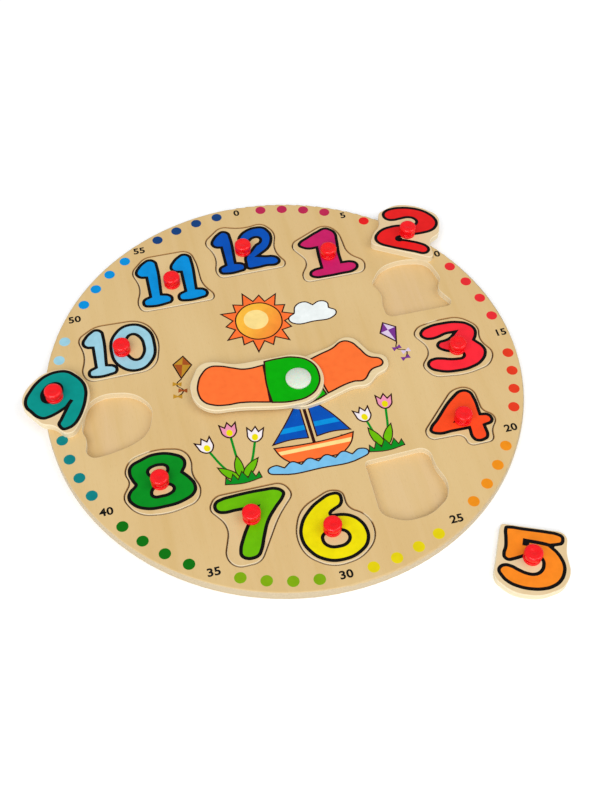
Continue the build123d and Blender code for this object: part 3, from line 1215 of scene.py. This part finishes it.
@dataclass
class HandPrints:
    """The prints on the two hands: a green hub and an orange paddle, each with a dark line."""

    line_width: float = 1.15
    minute_hub: Shape = Shape((
        Corner(18.0, -18.6), (20.6, -1.5), Corner(20.3, 13.9), (8.2, 16.0), (-4.1, 14.3),
        (-11.2, 8.2), (-14.0, -0.6), (-11.2, -11.5), (-1.0, -17.9), (9.0, -18.9),
    ))
    minute_paddle: Shape = Shape((
        Corner(18.2, -16.2), (31.0, -15.9), (38.0, -18.6), (45.0, -21.6), (52.0, -22.4),
        (58.0, -18.0), (61.8, -11.0), (63.0, -4.0), (61.0, 3.2), (55.5, 7.4), (47.0, 9.4),
        (39.0, 9.6), Corner(20.4, 13.6),
    ))
    hour_hub: Shape = Shape((
        Corner(15.5, -13.4), (12.6, -2.0), Corner(10.2, 15.8), (-2.0, 16.2), (-11.0, 10.5),
        (-14.0, -1.0), (-11.2, -12.8), (-2.0, -17.9), (7.0, -16.6),
    ))
    hour_paddle: Shape = Shape((
        Corner(10.4, 15.6), (18.5, 18.4), (27.0, 21.0), (35.2, 25.2), (40.6, 23.2), (44.6, 17.0),
        (48.6, 9.6), (55.6, 5.6), (55.8, 1.2), (47.6, -1.8), (40.4, -8.6), (33.6, -8.2),
        Corner(15.6, -13.2),
    ))

    def build(self) -> None:
        """Print both hands, each the way it points."""
        self._hand("hour_hand", 0.0, self.hour_hub, self.hour_paddle)
        self._hand("minute_hand", 180.0, self.minute_hub, self.minute_paddle)

    def _hand(self, node: str, turn: float, hub: Shape, paddle: Shape) -> None:
        """Print one hand.

        Args:
            node: The hand's solid and body.
            turn: Which way it points at rest.
            hub: The print round the rivet.
            paddle: The print along the arm.
        """
        pivot = plane_middle("pivot_cap")
        hand = PrintedPiece(f"{node}_print", node, top_of(node))
        for coat, (area, ink) in enumerate(((paddle, Ink.ORANGE), (hub, Ink.GRASS)), start=1):
            hand.lay(area, ink, at=pivot, turn=turn, border_width=self.line_width, coat=coat)
        hand.join()


@dataclass
class Studio:
    """A white table that glows a little as painted light, under soft light, and the camera."""

    camera_place: tuple[float, float, float] = (-105.125, -420.202, 597.347)
    aim: tuple[float, float, float] = (4.59, -20.39, 8.0)
    roll: float = 1.393
    lens: float = 52.29
    film_width: float = 36.0
    air_colour: str = "#F7FAFF"
    air_strength: float = 0.45
    table_width: float = 8.0  # in metres
    # How strongly the table glows, as painted light that lifts the shadows on it.
    table_glow: float = 0.1

    def build(self) -> None:
        """Make the table, the lights and the camera."""
        self._table()
        self._light("window", (-1.8, -3.0, 3.6), size=4.0, power=180.0)
        self._light("fill", (2.6, -1.6, 3.4), size=3.2, power=60.0)
        world = bpy.data.worlds.new("studio_air")
        bpy.context.scene.world = world
        world.use_nodes = True
        air = world.node_tree.nodes["Background"].inputs
        air["Color"].default_value = to_linear(self.air_colour)
        air["Strength"].default_value = self.air_strength
        bpy.context.scene.view_settings.view_transform = "Standard"
        self._camera()

    def _table(self) -> None:
        """Lay a white table under the clock, whose surface glows a little as painted light."""
        bpy.ops.object.select_all(action="DESELECT")
        below = (0.0, 0.0, -FILM * MM)
        bpy.ops.mesh.primitive_plane_add(size=self.table_width, location=below)
        table = bpy.context.object
        table.name = "table"
        material, tree = new_material("lit_white_acrylic")
        place = add_node(tree, "TexCoord").outputs["Object"]
        grain = add_node(tree, "TexNoise", {"Vector": place, "Scale": per_mm(3.0)})
        # Its glow is painted light: it lifts the shadows on it, so they are only the faintest.
        close_material(tree, grain.outputs["Fac"], strength=0.05, depth=0.1, values={
            "Base Color": to_linear("#FDFDFD"), "Roughness": 0.7, "Specular IOR Level": 0.1,
            "Emission Color": to_linear("#FFFFFF"), "Emission Strength": self.table_glow,
        })
        table.data.materials.append(material)

    def _light(
        self, name: str, place: tuple[float, float, float], size: float, power: float
    ) -> None:
        """Hang a soft square light that faces the clock.

        Args:
            name: The light's name.
            place: Where it hangs, in metres.
            size: How wide it is, in metres.
            power: Its power in watts.
        """
        lamp = bpy.data.lights.new(name, "AREA")
        lamp.shape = "SQUARE"
        lamp.size = size
        lamp.energy = power
        holder = bpy.data.objects.new(name, lamp)
        bpy.context.scene.collection.objects.link(holder)
        holder.location = place
        holder.rotation_euler = (-Vector(place)).to_track_quat("-Z", "Y").to_euler()

    def _camera(self) -> None:
        """Set the camera above the clock's lower left."""
        lens = bpy.data.cameras.new("camera")
        lens.sensor_width = self.film_width
        lens.lens = self.lens
        camera = bpy.data.objects.new("camera", lens)
        bpy.context.scene.collection.objects.link(camera)
        place = Vector(self.camera_place) * MM
        look = (Vector(self.aim) * MM - place).to_track_quat("-Z", "Y").to_matrix().to_4x4()
        tilt = Matrix.Rotation(math.radians(self.roll), 4, "Z")
        camera.matrix_world = Matrix.Translation(place) @ look @ tilt
        bpy.context.scene.camera = camera


HOUR_COLOURS = (
    Ink.RASPBERRY, Ink.SCARLET, Ink.CORAL_RED, Ink.VERMILION, Ink.TANGERINE, Ink.LEMON, Ink.LIME,
    Ink.LEAF, Ink.TEAL, Ink.POWDER_BLUE, Ink.SKY_BLUE, Ink.ROYAL_BLUE,
)
# The dots' inks are a little duller than the figures'.
TRACK_COLOURS = (
    Ink.MULBERRY, Ink.SCARLET, Ink.CRIMSON, Ink.BRICK, Ink.MANGO, Ink.MUSTARD, Ink.MOSS,
    Ink.FOREST, Ink.LAGOON, Ink.POWDER_BLUE, Ink.SKY_BLUE, Ink.NAVY,
)


def main() -> None:
    """Dress the clock, print it and set up the studio."""
    logging.basicConfig(level=logging.INFO, format="%(message)s")
    wood = WoodenFrame()
    wood.dress()
    PlasticParts().dress()
    NumberPrints().build(HOUR_COLOURS, wood.tiles_lying)
    MinuteTrack().build(TRACK_COLOURS)
    DialPicture().build()
    HandPrints().build()
    Studio().build()


if __name__ == "__main__":
    main()
